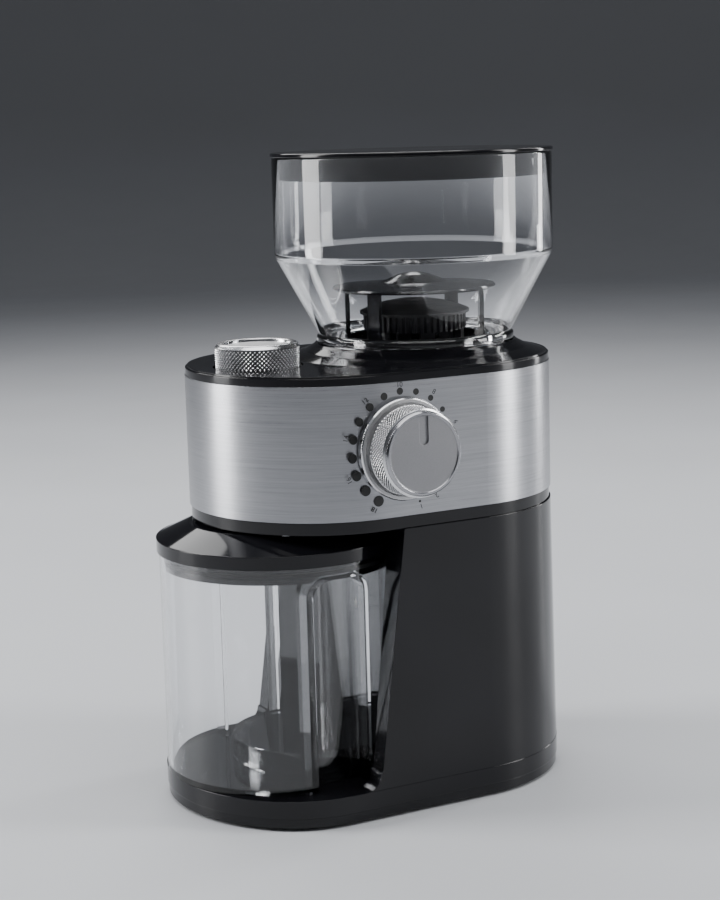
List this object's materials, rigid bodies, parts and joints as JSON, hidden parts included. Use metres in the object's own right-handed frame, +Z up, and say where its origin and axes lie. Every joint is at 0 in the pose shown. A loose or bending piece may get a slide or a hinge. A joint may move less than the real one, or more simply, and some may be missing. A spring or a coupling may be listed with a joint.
{
  "type": "burr coffee grinder",
  "caption": "Upright electric burr coffee grinder with a clear bean hopper, a brushed steel head with a grind dial and a cup dial, and a clear grounds container.",
  "frame": {"origin": "centre of the grinder's bounding box in X and Y, on the plane that the feet rest on; the burr axis is at X 30.5 mm, Y 7.25 mm", "axes": "+Z up, -Y the face with the grind dial, +X towards the hopper end, -X towards the container end"},
  "size_m": [0.184, 0.137, 0.275],
  "materials": {
    "gloss_black": "high-gloss moulded black",
    "matte_black": "fine-textured moulded black",
    "steel_brushed": "horizontally brushed",
    "knurled_alloy": "diamond-knurled satin",
    "bright_alloy": "satin face with a polished edge",
    "clear": "clear transparent plastic, polished",
    "guard_tint": "smoke-tinted moulded plastic",
    "rubber": "matt non-slip rubber",
    "gasket": "black silicone",
    "gear_plastic": "natural acetal",
    "burr_steel": "hardened and ground",
    "shaft_steel": "turned",
    "screw_zinc": "zinc-plated",
    "bronze": "sintered bronze",
    "board": "green circuit board"
  },
  "bodies": {
    "housing_body": {"base_plate": "gloss_black", "feet": "rubber", "base_screws": "screw_zinc", "housing": "gloss_black", "cord_gland": "matte_black", "lower_trim": "gloss_black", "head_frame": "matte_black", "steel_band": "steel_brushed", "top_cover": "gloss_black", "cover_screws": "screw_zinc", "hopper_seat": "matte_black", "dial_bezel": "bright_alloy", "grind_chamber": "matte_black", "outlet_chute": "matte_black", "gearbox_base": "matte_black", "gearbox_cover": "matte_black", "gearbox_screws": "screw_zinc", "motor_can": "steel_brushed", "motor_end_cap": "matte_black", "shaft_bushes": "bronze", "idler_pin": "shaft_steel", "transfer_bracket": "matte_black", "control_board": "board", "timer_pot": "matte_black", "start_switch": "matte_black", "container_switch": "matte_black", "hopper_switch": "matte_black"},
    "hopper_body": {"hopper": "clear", "hopper_neck": "clear", "bean_guard": "guard_tint"},
    "hopper_lid_body": {"hopper_lid": "gloss_black"},
    "dial_body": {"grind_dial": "knurled_alloy", "dial_cap": "bright_alloy", "dial_shaft": "shaft_steel", "dial_gear": "gear_plastic"},
    "transfer_body": {"transfer_gear": "gear_plastic"},
    "adjust_body": {"adjust_ring": "gear_plastic", "burr_carrier": "matte_black", "upper_burr": "burr_steel"},
    "burr_body": {"burr_shaft": "shaft_steel", "lower_burr": "burr_steel", "impeller": "matte_black", "output_gear": "gear_plastic"},
    "idler_body": {"idler_gear": "gear_plastic"},
    "motor_body": {"motor_rotor": "shaft_steel", "motor_pinion": "bronze"},
    "cup_dial_body": {"cup_dial": "knurled_alloy"},
    "button_body": {"start_button": "bright_alloy", "button_spring": "shaft_steel"},
    "container_body": {"container": "clear", "container_lid": "gloss_black", "lid_gasket": "gasket"},
    "plunger_body": {"interlock_plunger": "gear_plastic", "plunger_spring": "shaft_steel"}
  },
  "joints": [
    {"name": "hopper_lid_lift", "type": "slide", "parent": "hopper_body", "child": "hopper_lid_body", "axis": [0, 0, 1], "range_m": [0, 0.09]},
    {"name": "hopper_twist", "type": "hinge", "parent": "housing_body", "child": "hopper_body", "pos_m": [0.0305, 0.00725, 0.192], "axis": [0, 0, 1], "range_deg": [0, 38]},
    {"name": "grind_dial_turn", "type": "hinge", "parent": "housing_body", "child": "dial_body", "pos_m": [-0.01, -0.05125, 0.1554], "axis": [0, -1, 0], "range_deg": [-150, 150]},
    {"name": "transfer_turn", "type": "hinge", "parent": "housing_body", "child": "transfer_body", "pos_m": [0.0305, -0.04325, 0.1554], "axis": [0, -1, 0], "range_deg": [-104, 104]},
    {"name": "burr_adjust", "type": "hinge", "parent": "housing_body", "child": "adjust_body", "pos_m": [0.0305, 0.00725, 0.172], "axis": [0, 0, 1], "range_deg": [-15, 15]},
    {"name": "burr_spin", "type": "hinge", "parent": "housing_body", "child": "burr_body", "pos_m": [0.0305, 0.00725, 0.15], "axis": [0, 0, 1], "continuous": true},
    {"name": "idler_spin", "type": "hinge", "parent": "housing_body", "child": "idler_body", "pos_m": [0.05224, 0.02793, 0.105], "axis": [0, 0, 1], "continuous": true},
    {"name": "motor_spin", "type": "hinge", "parent": "housing_body", "child": "motor_body", "pos_m": [0.0545, 0.00725, 0.06], "axis": [0, 0, 1], "continuous": true},
    {"name": "cup_dial_turn", "type": "hinge", "parent": "housing_body", "child": "cup_dial_body", "pos_m": [-0.0465, 0.00725, 0.19], "axis": [0, 0, 1], "range_deg": [-140, 140]},
    {"name": "start_press", "type": "slide", "parent": "housing_body", "child": "button_body", "axis": [0, 0, -1], "range_m": [0, 0.002], "stiffness_N_per_m": 400, "springref_m": -0.0005, "deforming": ["button_spring"]},
    {"name": "container_slide", "type": "slide", "parent": "housing_body", "child": "container_body", "axis": [-1, 0, 0], "range_m": [0, 0.13]},
    {"name": "interlock_press", "type": "slide", "parent": "housing_body", "child": "plunger_body", "axis": [1, 0, 0], "range_m": [0, 0.0025], "stiffness_N_per_m": 150, "springref_m": -0.0008, "deforming": ["plunger_spring"]}
  ],
  "couplings": [
    {"joint": "transfer_turn", "follows": "grind_dial_turn", "ratio": -0.6875},
    {"joint": "burr_adjust", "follows": "grind_dial_turn", "ratio": -0.098214},
    {"joint": "idler_spin", "follows": "burr_spin", "ratio": -4},
    {"joint": "motor_spin", "follows": "burr_spin", "ratio": 13.333}
  ]
}
